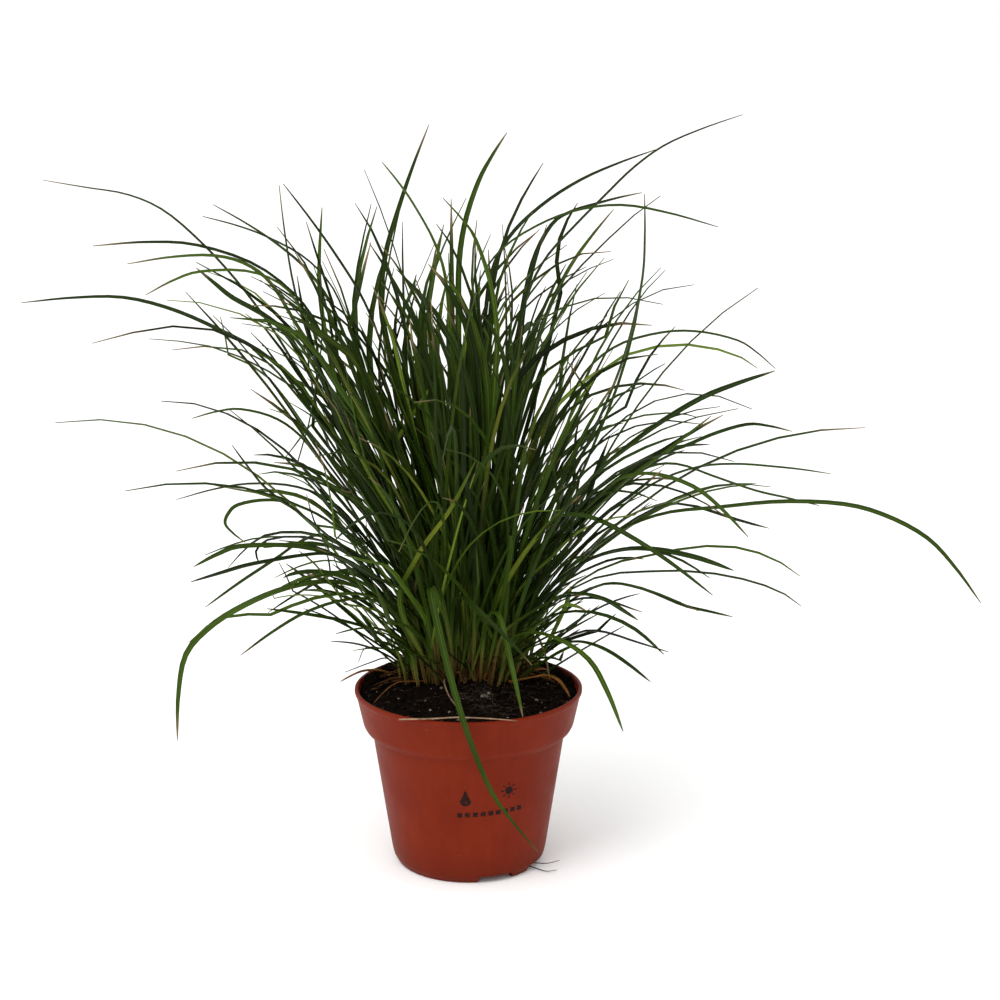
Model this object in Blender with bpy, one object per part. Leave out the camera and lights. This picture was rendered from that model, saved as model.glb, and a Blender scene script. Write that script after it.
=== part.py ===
"""A clump of ornamental grass in a round 12 cm nursery pot.

Frame: metres, +Z up. The origin is the centre of the pot's foot, on the surface that the
pot stands on. +X is the clump's widest direction and -Y is the side that is seen first.
"""
import math

import bmesh
import bpy
from mathutils import Matrix, Vector
from mathutils.bvhtree import BVHTree

MM = 0.001

# Pot: a turned, thin-walled shell with a collar, a step and a foot ring (mm).
POT_RIM_RADIUS = 60.0
POT_HEIGHT = 95.0
POT_WALL = 1.1
LIP_HEIGHT = 2.0
LIP_WALL = 1.9
COLLAR_HEIGHT = 19.0
COLLAR_FOOT_RADIUS = 55.6
STEP_HEIGHT = 5.0
BODY_TOP_RADIUS = 50.8
BODY_FOOT_RADIUS = 41.2
BODY_FOOT_HEIGHT = 8.0
FOOT_RADIUS = 38.0
FOOT_RING_WIDTH = 3.0
FLOOR_HEIGHT = 3.6
FLOOR_WALL = 1.2
ROUND_SEGMENTS = 48

# Two pairs of drainage notches in the foot ring, and the holes in the floor.
NOTCH_HEIGHT = 3.5
NOTCH_ARC = 26.0
NOTCH_FIRST_ANGLES = (-67.5, 112.5)
NOTCH_PAIR_PITCH = 44.5
DRAIN_HOLE_RADIUS = 4.0
DRAIN_HOLE_COUNT = 6
DRAIN_HOLE_RING_RADIUS = 26.0

# Soil: a plug that rises from the front to the back, with a low mound at the crown (mm).
SOIL_MIDDLE_HEIGHT = 91.0
SOIL_SLOPE = 0.045
SOIL_TOP_RINGS = 5
MOUND_HEIGHT = 3.5
MOUND_RADIUS = 40.0
GAP = 0.35

# Leaves: a V-shaped blade, keeled below, that tapers to a point (mm).
CROWN_CENTRE = (-1.0, 22.0)
CROWN_HALF_WIDTH = 31.0
CROWN_HALF_DEPTH = 16.0
ROOT_SPACING = 5.0
SPREADING_ROUNDS = 200
BASE_GAP = 0.6
START_RISE = 1.4
LEAF_THICKNESS = 0.55
KEEL_DEPTH = 0.26
STATION_SPACING = 26.0
CLEARANCE = 0.7
TURN_STEP = 0.8
MOST_TURNS = 100

# Each living leaf: its width, then the points that it passes through after the crown,
# in mm, ending at its tip. The points are laid out by hand for a clump in the middle of
# the pot, to the nearest few millimetres. The clump grows behind the middle, so each
# point is scaled by CLUMP_SCALE and then moved by CLUMP_SHIFT.
CLUMP_SCALE = 1.019
CLUMP_SHIFT = (0.0, 19.0, -8.0)
LEAVES = {
    "left": [
        (2.4, [(-90, 30, 260), (-160, 50, 340), (-225, 60, 355)]),
        (2.6, [(-90, 50, 245), (-135, 65, 275), (-190, 85, 290), (-250, 100, 285)]),
        (2.6, [(-80, -25, 300), (-130, -35, 330), (-180, -40, 330)]),
        (2.8, [(-100, 15, 305), (-130, 15, 320), (-175, 20, 315)]),
        (2.2, [(-75, 65, 290), (-105, 80, 320), (-140, 90, 340)]),
        (2.4, [(-65, -35, 310), (-95, -45, 335), (-125, -50, 345)]),
        (2.2, [(-85, -50, 310), (-125, -60, 320), (-150, -70, 310)]),
        (3.8, [(-95, 35, 275), (-125, 40, 295), (-145, 45, 310)]),
        (3.0, [(-60, -30, 235), (-80, -50, 310), (-85, -60, 360)]),
        (2.6, [(-70, 35, 235), (-85, 50, 295), (-85, 60, 340)]),
        (3.2, [(-45, -25, 285), (-65, -35, 325), (-90, -40, 360)]),
        (2.6, [(-85, -5, 230), (-115, -10, 245), (-140, -10, 240)]),
        (2.8, [(-60, 40, 190), (-90, 50, 230), (-125, 60, 245)]),
    ],
    "low_left": [
        (4.0, [(-45, -10, 145), (-75, -10, 155), (-115, -20, 145), (-145, -25, 120), (-150, -30, 75)]),
        (2.8, [(-75, 25, 170), (-105, 35, 155), (-145, 45, 125)]),
        (3.2, [(-60, -10, 165), (-115, -15, 175), (-140, -20, 165)]),
        (3.2, [(-45, -30, 150), (-80, -50, 150), (-110, -75, 135)]),
        (3.0, [(-40, -15, 125), (-65, -30, 140), (-100, -45, 150)]),
        (2.6, [(-70, 15, 190), (-115, 20, 200), (-155, 25, 190)]),
        (3.0, [(-65, -45, 185), (-95, -65, 215), (-110, -80, 240)]),
        (2.6, [(-60, -20, 180), (-90, -25, 200), (-115, -30, 200), (-122, -30, 190), (-112, -30, 180)]),
    ],
    "top": [
        (3.0, [(-45, 20, 295), (-35, 25, 345), (-20, 30, 385)]),
        (3.8, [(-10, -30, 315), (-25, -35, 350), (-40, -40, 370)]),
        (3.0, [(-5, 35, 315), (5, 45, 355), (20, 50, 380)]),
        (3.0, [(15, -50, 290), (5, -60, 335), (-10, -70, 355)]),
    ],
    "right": [
        (2.6, [(30, 15, 300), (70, 25, 350), (100, 25, 375), (140, 30, 390)]),
        (2.4, [(10, 50, 300), (25, 60, 330), (60, 70, 355), (100, 80, 370)]),
        (2.2, [(5, -30, 310), (35, -35, 340), (75, -45, 350), (120, -50, 340)]),
        (2.4, [(30, 75, 295), (45, 90, 330), (70, 100, 340), (95, 110, 345)]),
        (3.8, [(60, -20, 230), (75, -30, 270), (85, -35, 315), (85, -45, 355)]),
        (2.4, [(35, 80, 260), (55, 100, 305), (80, 120, 335)]),
        (2.6, [(60, 15, 260), (100, 20, 280), (140, 25, 275), (160, 25, 260)]),
        (4.0, [(50, -20, 195), (75, -25, 225), (115, -35, 255), (150, -45, 270)]),
        (3.4, [(65, -50, 205), (95, -70, 235), (115, -85, 255)]),
        (2.4, [(80, 35, 200), (115, 45, 215), (150, 55, 225), (175, 60, 220)]),
        (2.2, [(80, 10, 190), (120, 15, 210), (160, 15, 210), (190, 20, 205)]),
        (3.0, [(75, -25, 185), (125, -35, 200), (185, -50, 205), (225, -60, 190), (250, -70, 160)]),
    ],
    "low_right": [
        (2.8, [(75, -60, 220), (110, -75, 220), (135, -95, 200)]),
        (2.4, [(90, 40, 205), (150, 60, 190), (185, 70, 180)]),
        (2.6, [(45, -55, 200), (80, -80, 195), (115, -110, 175)]),
        (4.0, [(50, -30, 165), (80, -40, 180), (110, -55, 180), (130, -65, 175)]),
        (2.8, [(70, -15, 155), (110, -20, 145), (135, -25, 140)]),
        (3.0, [(30, -35, 135), (60, -65, 130), (75, -100, 105)]),
        (2.6, [(50, -35, 130), (70, -50, 130), (90, -70, 120)]),
    ],
    "front": [
        (3.6, [(-18, -60, 165), (-6, -84, 121), (12, -81, 67), (35, -73, 32)]),
        (3.0, [(-55, -85, 185), (-85, -140, 200), (-110, -215, 210)]),
        (2.8, [(40, -50, 155), (60, -110, 175), (75, -185, 185)]),
    ],
    "back": [
        (3.2, [(15, 70, 240), (35, 130, 270), (45, 178, 235)]),
        (3.0, [(-45, 70, 200), (-85, 130, 215), (-115, 175, 180)]),
        (3.0, [(60, 50, 175), (90, 80, 195), (115, 115, 200), (140, 150, 195)]),
    ],
}

# Dead leaves lie loose on the soil and over the rim; thin roots come out of a notch.
DRY_LEAVES = {
    "rim": (3.4, [(-45, 24, 93), (-52, 20, 98), (-60, 13, 98.5), (-68, 4, 96)]),
    "right": (3.0, [(32, 7, 94), (40, 10, 98), (48, 3, 97), (53, -11, 92.5)]),
    "left": (2.2, [(-31, 5, 93.5), (-37, 4, 96), (-44, -6, 94), (-49, -18, 91.5)]),
}
ROOTS = {
    "upper": [(30.5, -14.5, 1.6), (36.5, -15.5, 1.4), (42, -18, 2.4), (48, -19.5, 4.6)],
    "lower": [(30, -18, 1.3), (35.5, -21, 0.9), (41, -25, 0.9), (46.5, -25.5, 1.8)],
}
ROOT_THICKNESS = 0.7

MATERIALS = {
    "pot_plastic": ((0.22, 0.025, 0.012), 0.42),
    "potting_soil": ((0.012, 0.009, 0.006), 0.95),
    "living_leaf": ((0.020, 0.055, 0.012), 0.45),
    "dead_leaf": ((0.28, 0.12, 0.045), 0.75),
    "root_fibre": ((0.05, 0.032, 0.018), 0.85),
}


def clear_scene():
    for item in list(bpy.data.objects):
        bpy.data.objects.remove(item)


def make_material(name):
    colour, roughness = MATERIALS[name]
    material = bpy.data.materials.new(name)
    material.use_nodes = True
    shader = material.node_tree.nodes["Principled BSDF"]
    shader.inputs["Base Color"].default_value = (*colour, 1.0)
    shader.inputs["Roughness"].default_value = roughness
    shader.inputs["Metallic"].default_value = 0.0
    return material


def add_object(name, shape, material, smooth=True):
    """Put a bmesh into the scene as a named object. Its size was made in millimetres."""
    bmesh.ops.transform(shape, matrix=Matrix.Scale(MM, 4), verts=shape.verts)
    mesh = bpy.data.meshes.new(name)
    shape.to_mesh(mesh)
    shape.free()
    mesh.materials.append(material)
    if smooth:
        mesh.shade_smooth()
        mesh.set_sharp_from_angle(angle=math.radians(35))
    item = bpy.data.objects.new(name, mesh)
    bpy.context.collection.objects.link(item)
    return item


def turned(outline):
    """A solid of revolution about Z from a closed outline of (radius, height) points."""
    shape = bmesh.new()
    ring = [shape.verts.new((radius, 0.0, height)) for radius, height in outline]
    edges = [shape.edges.new(pair) for pair in zip(ring, ring[1:])]
    if outline[0][0] > 0.0:
        edges.append(shape.edges.new((ring[-1], ring[0])))
    bmesh.ops.spin(shape, geom=ring + edges, cent=(0, 0, 0), axis=(0, 0, 1),
                   angle=math.tau, steps=ROUND_SEGMENTS, use_merge=True)
    bmesh.ops.remove_doubles(shape, verts=shape.verts, dist=0.0001)
    bmesh.ops.recalc_face_normals(shape, faces=shape.faces)
    return shape


def pot_outline():
    """Down the outside, round the foot ring, then up the inside to the lip."""
    collar_foot = POT_HEIGHT - COLLAR_HEIGHT
    body_top = collar_foot - STEP_HEIGHT
    floor_top = FLOOR_HEIGHT + FLOOR_WALL
    outside = [
        (POT_RIM_RADIUS - 0.4, POT_HEIGHT),
        (POT_RIM_RADIUS, POT_HEIGHT - 0.4),
        (POT_RIM_RADIUS - 0.3, POT_HEIGHT - LIP_HEIGHT),
        (COLLAR_FOOT_RADIUS, collar_foot),
        (COLLAR_FOOT_RADIUS - 1.4, collar_foot - 2.6),
        (BODY_TOP_RADIUS, body_top),
        (BODY_FOOT_RADIUS, BODY_FOOT_HEIGHT),
        (BODY_FOOT_RADIUS - 1.0, 4.0),
        (FOOT_RADIUS, 0.0),
    ]
    underside = [
        (FOOT_RADIUS - FOOT_RING_WIDTH, 0.0),
        (FOOT_RADIUS - FOOT_RING_WIDTH - 0.6, FLOOR_HEIGHT),
        (0.0, FLOOR_HEIGHT),
    ]
    inside = [
        (0.0, floor_top),
        (BODY_FOOT_RADIUS - POT_WALL - 1.0, floor_top),
        (BODY_FOOT_RADIUS - POT_WALL, BODY_FOOT_HEIGHT),
        (BODY_TOP_RADIUS - POT_WALL, body_top + 0.3),
        (COLLAR_FOOT_RADIUS - POT_WALL - 1.2, collar_foot - 2.0),
        (COLLAR_FOOT_RADIUS - POT_WALL, collar_foot + 0.6),
        (POT_RIM_RADIUS - LIP_WALL, POT_HEIGHT),
    ]
    return outside, underside, inside


def cut(target, cutter):
    modifier = target.modifiers.new("cut_" + cutter.name, "BOOLEAN")
    modifier.operation = "DIFFERENCE"
    modifier.object = cutter
    cutter.hide_render = True
    cutter.display_type = "WIRE"


def notch_cutter(name, angle, material):
    """A block with sloping ends that leaves a drainage notch in the foot ring."""
    middle_radius = FOOT_RADIUS - 0.5 * FOOT_RING_WIDTH
    length = math.radians(NOTCH_ARC) * middle_radius
    depth = 4.0 * FOOT_RING_WIDTH
    shape = bmesh.new()
    bmesh.ops.create_cube(shape, size=1.0)
    bmesh.ops.scale(shape, verts=shape.verts, vec=(depth, length, 2.0 * NOTCH_HEIGHT))
    for vert in shape.verts:
        if vert.co.z > 0.0:
            vert.co.y -= math.copysign(0.6 * NOTCH_HEIGHT, vert.co.y)
    place = Matrix.Rotation(math.radians(angle), 4, "Z") @ Matrix.Translation((middle_radius, 0, 0))
    bmesh.ops.transform(shape, matrix=place, verts=shape.verts)
    return add_object(name, shape, material, smooth=False)


def hole_cutter(name, angle, material):
    shape = bmesh.new()
    bmesh.ops.create_cone(shape, cap_ends=True, segments=12, radius1=DRAIN_HOLE_RADIUS,
                          radius2=DRAIN_HOLE_RADIUS, depth=4.0 * FLOOR_WALL)
    place = (Matrix.Rotation(angle, 4, "Z")
             @ Matrix.Translation((DRAIN_HOLE_RING_RADIUS, 0, FLOOR_HEIGHT + 0.5 * FLOOR_WALL)))
    bmesh.ops.transform(shape, matrix=place, verts=shape.verts)
    return add_object(name, shape, material, smooth=False)


def make_pot():
    plastic = make_material("pot_plastic")
    outside, underside, inside = pot_outline()
    rising = list(reversed(underside)) + list(reversed(outside))
    pot = add_object("nursery_pot", turned(rising + list(reversed(inside))), plastic)
    for pair, first_angle in enumerate(NOTCH_FIRST_ANGLES):
        for step in range(2):
            angle = first_angle + step * NOTCH_PAIR_PITCH
            cut(pot, notch_cutter(f"notch_cutter_{pair}_{step}", angle, plastic))
    for hole in range(DRAIN_HOLE_COUNT):
        angle = math.tau * hole / DRAIN_HOLE_COUNT
        cut(pot, hole_cutter(f"hole_cutter_{hole}", angle, plastic))


def soil_top(x, y):
    """The height of the soil: it rises to the back, with a mound under the crown."""
    away = math.hypot(x - CROWN_CENTRE[0], y - CROWN_CENTRE[1]) / MOUND_RADIUS
    return SOIL_MIDDLE_HEIGHT + SOIL_SLOPE * y + MOUND_HEIGHT * max(0.0, 1.0 - away * away)


def make_soil():
    """The plug follows the pot's inner wall, a small gap inside it."""
    inset = POT_WALL + GAP
    body_top = POT_HEIGHT - COLLAR_HEIGHT - STEP_HEIGHT
    collar_foot = POT_HEIGHT - COLLAR_HEIGHT
    bottom = FLOOR_HEIGHT + FLOOR_WALL + GAP
    wall_low = Vector((COLLAR_FOOT_RADIUS - inset, collar_foot + 0.6))
    wall_high = Vector((POT_RIM_RADIUS - LIP_WALL - GAP, POT_HEIGHT))
    outline = [
        (0.0, bottom),
        (BODY_FOOT_RADIUS - inset - 1.4, bottom),
        (BODY_FOOT_RADIUS - inset, BODY_FOOT_HEIGHT + GAP),
        (BODY_TOP_RADIUS - inset, body_top + 0.9),
        (COLLAR_FOOT_RADIUS - inset - 1.5, collar_foot - 1.0),
        (COLLAR_FOOT_RADIUS - inset - 0.2, collar_foot + 1.4),
    ]
    for ring in range(SOIL_TOP_RINGS, -1, -1):
        outline.append((wall_high.x * ring / SOIL_TOP_RINGS, POT_HEIGHT))
    shape = turned(outline)
    for vert in shape.verts:
        if vert.co.z < POT_HEIGHT - GAP:
            continue
        radius = vert.co.xy.length
        vert.co.z = soil_top(vert.co.x, vert.co.y)
        if radius > wall_high.x - GAP:
            rise = (vert.co.z - wall_low.y) / (wall_high.y - wall_low.y)
            vert.co.xy *= wall_low.lerp(wall_high, rise).x / radius
    add_object("potting_soil", shape, make_material("potting_soil"))


def spaced_roots(leaves):
    """Where each leaf leaves the crown: leaning leaves outside, upright ones inside."""
    centre = Vector(CROWN_CENTRE)
    leans = []
    for width, points in leaves:
        away = points[0].xy - centre
        height = points[0].z - soil_top(*centre)
        leans.append((away.length / height, math.atan2(away.y, away.x)))
    order = sorted(range(len(leaves)), key=lambda index: leans[index][0])
    roots = [None] * len(leaves)
    for rank, index in enumerate(order):
        part = math.sqrt((rank + 0.5) / len(leaves))
        angle = leans[index][1]
        roots[index] = Vector((CROWN_HALF_WIDTH * part * math.cos(angle),
                               CROWN_HALF_DEPTH * part * math.sin(angle)))
    for _ in range(SPREADING_ROUNDS):
        for one, here in enumerate(roots):
            for there in roots[:one]:
                apart = here - there
                shortfall = ROOT_SPACING - apart.length
                if shortfall > 0.0:
                    push = apart.normalized() * shortfall * 0.5
                    here += push
                    there -= push
        for here in roots:
            reach = math.hypot(here.x / CROWN_HALF_WIDTH, here.y / CROWN_HALF_DEPTH)
            if reach > 1.0:
                here /= reach
    return [centre + root for root in roots]


def smooth_route(points, spacing):
    """Read a smooth curve through the points: it starts straight up out of the crown."""
    rise = Vector((0.0, 0.0, START_RISE * (points[1] - points[0]).length))
    before = points[1] - rise
    after = points[-1] * 2.0 - points[-2]
    control = [before, *points, after]
    route = []
    for index in range(1, len(control) - 2):
        p0, p1, p2, p3 = control[index - 1:index + 3]
        length = (p2 - p1).length
        leaving = (p2 - p0) * length / ((p1 - p0).length + length)
        arriving = (p3 - p1) * length / (length + (p3 - p2).length)
        if index == 1:
            leaving = rise
        steps = max(2, round(length / spacing))
        for step in range(steps):
            t = step / steps
            route.append(p1 * (2 * t**3 - 3 * t**2 + 1) + leaving * (t**3 - 2 * t**2 + t)
                         + p2 * (3 * t**2 - 2 * t**3) + arriving * (t**3 - t**2))
    route.append(points[-1].copy())
    return route


def blade_width(along):
    """A narrow sheath at the crown, the full width at a third, and a tapered tip."""
    sheath = 0.72 + 0.28 * min(1.0, along / 0.3)
    return sheath * (1.0 - along**4) ** 0.7


def blade(route, width, grow=0.0):
    """A closed V-section blade along a route. Its four-sided rings meet at the tip."""
    chord = route[-1] - route[0]
    across = Vector((-chord.y, chord.x, 0.0)).normalized()
    shape = bmesh.new()
    rings = []
    last = len(route) - 1
    for index, point in enumerate(route[:-1]):
        ahead = route[min(index + 1, last)]
        behind = route[max(index - 1, 0)]
        tangent = (ahead - behind).normalized() if index else Vector((0.0, 0.0, 1.0))
        side = (across - tangent * across.dot(tangent)).normalized()
        above = tangent.cross(side)
        half = 0.5 * width * blade_width(index / last) + grow
        keel = 2.0 * half * KEEL_DEPTH
        groove = LEAF_THICKNESS + grow
        ring = [side * half, above * (groove - keel), side * -half, above * -(keel + grow)]
        rings.append([shape.verts.new(point + offset) for offset in ring])
    tip = shape.verts.new(route[-1])
    shape.faces.new(rings[0])
    for low, high in zip(rings, rings[1:]):
        for corner in range(4):
            following = (corner + 1) % 4
            shape.faces.new((low[corner], low[following], high[following], high[corner]))
    for corner in range(4):
        shape.faces.new((rings[-1][corner], rings[-1][(corner + 1) % 4], tip))
    bmesh.ops.recalc_face_normals(shape, faces=shape.faces)
    return shape


def turned_about_root(points, degrees):
    turn = Matrix.Rotation(math.radians(degrees), 3, "Z")
    root = points[0]
    return [root + turn @ (point - root) for point in points]


def clear_blade(points, width, placed):
    """Turn a leaf about its root, in small steps each way, until it touches no other."""
    for step in range(MOST_TURNS):
        degrees = TURN_STEP * ((step + 1) // 2) * (-1) ** step
        route = smooth_route(turned_about_root(points, degrees), STATION_SPACING)
        probe = blade(route, width, grow=0.5 * CLEARANCE)
        tree = BVHTree.FromBMesh(probe)
        probe.free()
        if not any(tree.overlap(other) for other in placed):
            placed.append(tree)
            return blade(route, width)
    raise ValueError("a leaf finds no clear place")


def in_place(points):
    """A hand-laid leaf's points, scaled and moved to where the clump grows."""
    return [Vector(point) * CLUMP_SCALE + Vector(CLUMP_SHIFT) for point in points]


def make_leaves(placed):
    green = make_material("living_leaf")
    named = []
    for side, rows in LEAVES.items():
        for number, row in enumerate(rows, start=1):
            named.append((f"leaf_{side}_{number:02d}", row[0], in_place(row[1])))
    roots = spaced_roots([(width, points) for name, width, points in named])
    for (name, width, points), root in zip(named, roots):
        start = Vector((root.x, root.y, soil_top(root.x, root.y) + BASE_GAP))
        add_object(name, clear_blade([start] + points, width, placed), green)


def make_dry_leaves(placed):
    straw = make_material("dead_leaf")
    for name, (width, points) in DRY_LEAVES.items():
        points = [Vector(point) for point in points]
        add_object("dry_leaf_" + name, clear_blade(points, width, placed), straw)


def make_roots():
    fibre = make_material("root_fibre")
    for name, points in ROOTS.items():
        points = [Vector(point) for point in points]
        curve = bpy.data.curves.new("trailing_root_" + name, "CURVE")
        curve.dimensions = "3D"
        curve.bevel_depth = 0.5 * ROOT_THICKNESS * MM
        curve.bevel_resolution = 0
        curve.use_fill_caps = True
        spline = curve.splines.new("POLY")
        spline.points.add(len(points) - 1)
        for knot, point in zip(spline.points, points):
            knot.co = (*(point * MM), 1.0)
        curve.materials.append(fibre)
        item = bpy.data.objects.new("trailing_root_" + name, curve)
        bpy.context.collection.objects.link(item)


clear_scene()
make_pot()
make_soil()
placed_blades = []
make_leaves(placed_blades)
make_dry_leaves(placed_blades)
make_roots()
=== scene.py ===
import math
import random

import bmesh
import bpy
from mathutils import Matrix, Quaternion, Vector, noise
from mathutils.bvhtree import BVHTree


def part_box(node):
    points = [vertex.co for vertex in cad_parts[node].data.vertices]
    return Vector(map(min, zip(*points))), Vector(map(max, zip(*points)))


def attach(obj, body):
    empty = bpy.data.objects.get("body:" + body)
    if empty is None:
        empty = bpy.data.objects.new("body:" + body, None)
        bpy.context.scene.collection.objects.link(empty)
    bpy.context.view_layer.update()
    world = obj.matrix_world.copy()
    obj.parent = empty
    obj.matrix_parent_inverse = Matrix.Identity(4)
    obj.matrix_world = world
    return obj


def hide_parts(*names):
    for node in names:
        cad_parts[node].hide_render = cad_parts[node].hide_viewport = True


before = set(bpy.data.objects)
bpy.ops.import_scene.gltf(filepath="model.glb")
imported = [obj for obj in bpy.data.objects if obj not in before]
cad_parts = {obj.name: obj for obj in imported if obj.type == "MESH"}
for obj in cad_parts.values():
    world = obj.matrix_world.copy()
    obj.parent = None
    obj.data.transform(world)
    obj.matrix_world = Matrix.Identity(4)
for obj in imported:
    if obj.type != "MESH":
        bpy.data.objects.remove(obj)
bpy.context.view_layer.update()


# ----------------------------------------------------------------------
# Camera. It stands a metre in front of the plant, a little above its middle and a touch
# to the right of it, with a short telephoto lens that looks slightly down.
# ----------------------------------------------------------------------
camera = bpy.data.objects.new("camera", bpy.data.cameras.new("camera"))
camera.data.sensor_width = 36.0
camera.data.lens = 71.5
camera.location = (0.0166, -1.0, 0.4225)
camera.rotation_euler = (math.radians(90.0 - 12.8), 0.0, 0.0)
bpy.context.scene.collection.objects.link(camera)
bpy.context.scene.camera = camera
bpy.context.scene.view_settings.view_transform = "Standard"


# ----------------------------------------------------------------------
# Studio. A wide matt white table runs to the horizon inside an even white tent. One big
# softbox stands overhead at the front left, and a flood is bounced off the ceiling.
# ----------------------------------------------------------------------
def linear(hex_colour):
    """An sRGB hex colour such as "#8a2f1c" as linear red, green, blue and alpha."""
    channels = [int(hex_colour[at:at + 2], 16) / 255.0 for at in (1, 3, 5)]
    return (*(c / 12.92 if c <= 0.04045 else ((c + 0.055) / 1.055) ** 2.4 for c in channels), 1.0)


def node(tree, kind, inputs=None, stops=(), **settings):
    """Add a shader node, set it and its colour stops, and fill its inputs with values or links."""
    made = tree.nodes.new("ShaderNode" + kind)
    for name, value in settings.items():
        setattr(made, name, value)
    for at, (position, colour) in enumerate(stops):
        ramp = made.color_ramp.elements
        stop = ramp[at] if at < 2 else ramp.new(1.0)
        stop.position = position
        stop.color = linear(colour)
    for name, value in (inputs or {}).items():
        if isinstance(value, bpy.types.NodeSocket):
            tree.links.new(value, made.inputs[name])
        else:
            made.inputs[name].default_value = value
    return made


def new_material(name, roughness, ior, specular):
    """A material with its Principled shader's constant values set on the sockets."""
    material = bpy.data.materials.new(name)
    material.use_nodes = True
    shader = material.node_tree.nodes["Principled BSDF"]
    shader.inputs["Roughness"].default_value = roughness
    shader.inputs["IOR"].default_value = ior
    shader.inputs["Specular IOR Level"].default_value = specular
    return material, material.node_tree, shader


table_paint, tree, shader = new_material("matt_white_laminate", 0.85, 1.45, 0.2)
cloud = node(tree, "TexNoise", {"Scale": 3.0, "Detail": 2.0})
shade = node(tree, "ValToRGB", {"Fac": cloud.outputs["Fac"]},
             stops=[(0.0, "#f9f9f8"), (1.0, "#fcfcfc")])
tree.links.new(shade.outputs["Color"], shader.inputs["Base Color"])

shape = bmesh.new()
bmesh.ops.create_circle(shape, cap_ends=True, segments=64, radius=40.0)
table_mesh = bpy.data.meshes.new("table")
shape.to_mesh(table_mesh)
shape.free()
table_mesh.materials.append(table_paint)
table = bpy.data.objects.new("table", table_mesh)
bpy.context.scene.collection.objects.link(table)

sky = bpy.data.worlds.new("white_tent")
sky.use_nodes = True
sky.node_tree.nodes["Background"].inputs["Color"].default_value = (1.0, 1.0, 1.0, 1.0)
sky.node_tree.nodes["Background"].inputs["Strength"].default_value = 1.0
bpy.context.scene.world = sky

softbox = bpy.data.lights.new("softbox", "AREA")
softbox.size = 0.8
softbox.energy = 12.0
softbox_lamp = bpy.data.objects.new("softbox", softbox)
softbox_lamp.location = (-0.7, -0.9, 1.6)
softbox_lamp.rotation_euler = Vector((-0.7, -0.9, 1.4)).to_track_quat("Z", "Y").to_euler()
bpy.context.scene.collection.objects.link(softbox_lamp)

# A bounced flood, wide and far off, evens out the light on the table.
flood = bpy.data.lights.new("bounced_flood", "SUN")
flood.energy = 0.9
flood.angle = math.radians(70.0)
flood_lamp = bpy.data.objects.new("bounced_flood", flood)
flood_lamp.rotation_euler = (math.radians(20.0), math.radians(-18.0), 0.0)
bpy.context.scene.collection.objects.link(flood_lamp)


# ----------------------------------------------------------------------
# Nursery pot. A thin pot injection-moulded in terracotta-coloured polypropylene, with a
# collar for stacking, a foot ring cut by two pairs of drainage notches, and drain holes.
# ----------------------------------------------------------------------
MM = 0.001
POT_SEGMENTS = 144
pot_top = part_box("nursery_pot")[1]
rim_radius = pot_top[0] / MM
rim_height = pot_top[2] / MM
WALL_FOOT = (41.2, 8.0)               # radius and height of the plain wall's two ends, in mm
WALL_TOP = (50.8, 71.0)
POT_OUTLINE = [                       # radius, height, corner rounding, in mm
    (0.0, 4.8, 0.0),
    (39.1, 4.8, 0.8),
    (40.1, 8.0, 0.0),
    (49.7, 71.3, 0.8),
    (53.3, 74.0, 0.8),
    (54.5, 76.6, 0.6),
    (rim_radius - 1.9, rim_height, 0.5),
    (rim_radius, rim_height, 0.7),
    (rim_radius - 0.1, rim_height - 2.2, 0.5),
    (rim_radius - 0.9, rim_height - 3.0, 0.4),
    (55.6, 76.0, 0.9),
    (54.2, 73.4, 0.6),
    (*WALL_TOP, 0.7),
    (*WALL_FOOT, 1.2),
    (40.3, 3.9, 0.8),
    (38.0, 0.0, 0.5),
    (35.0, 0.0, 0.3),
    (34.4, 3.6, 0.0),
    (0.0, 3.6, 0.0),
]
NOTCH_MIDDLES = (-67.5, -23.0, 112.5, 157.0)
NOTCH_ARC = 26.0
NOTCH_HEIGHT = 3.5
NOTCH_INNER_RADIUS = 34.6
DRAIN_HOLES = 6
DRAIN_HOLE_RADIUS = 4.0
DRAIN_RING_RADIUS = 26.0
FLOOR_MIDDLE = 4.2
PUNCH_DEPTH = 3.0


def add_piece(name, shape, material, slot, *replaced, sharp=38.0):
    """Turn a bmesh, made in millimetres, into a piece that rides with the plant."""
    bmesh.ops.transform(shape, matrix=Matrix.Scale(MM, 4), verts=shape.verts)
    mesh = bpy.data.meshes.new(name)
    shape.to_mesh(mesh)
    shape.free()
    mesh.materials.append(material)
    mesh.shade_smooth()
    mesh.set_sharp_from_angle(angle=math.radians(sharp))
    piece = bpy.data.objects.new(name, mesh)
    bpy.context.scene.collection.objects.link(piece)
    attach(piece, "root")
    if replaced:
        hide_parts(*replaced)
    return piece


def turned(outline, segments):
    """Spin an outline of (radius, height, rounding) about Z, then round its ring edges."""
    shape = bmesh.new()
    ring = [shape.verts.new((radius, 0.0, height)) for radius, height, rounding in outline]
    edges = [shape.edges.new(pair) for pair in zip(ring, ring[1:])]
    bmesh.ops.spin(shape, geom=ring + edges, cent=(0, 0, 0), axis=(0, 0, 1),
                   angle=math.tau, steps=segments, use_merge=True)
    bmesh.ops.remove_doubles(shape, verts=shape.verts, dist=0.0001)
    bmesh.ops.recalc_face_normals(shape, faces=shape.faces)
    for radius, height, rounding in outline:
        if rounding > 0.0:
            ends = {vert for vert in shape.verts
                    if abs(vert.co.z - height) < 0.001 and abs(vert.co.xy.length - radius) < 0.001}
            rings = [edge for edge in shape.edges if ends.issuperset(edge.verts)]
            bmesh.ops.bevel(shape, geom=rings, offset=rounding, offset_type="OFFSET",
                            affect="EDGES", segments=3, profile=0.5, material=-1)
    return shape


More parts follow.
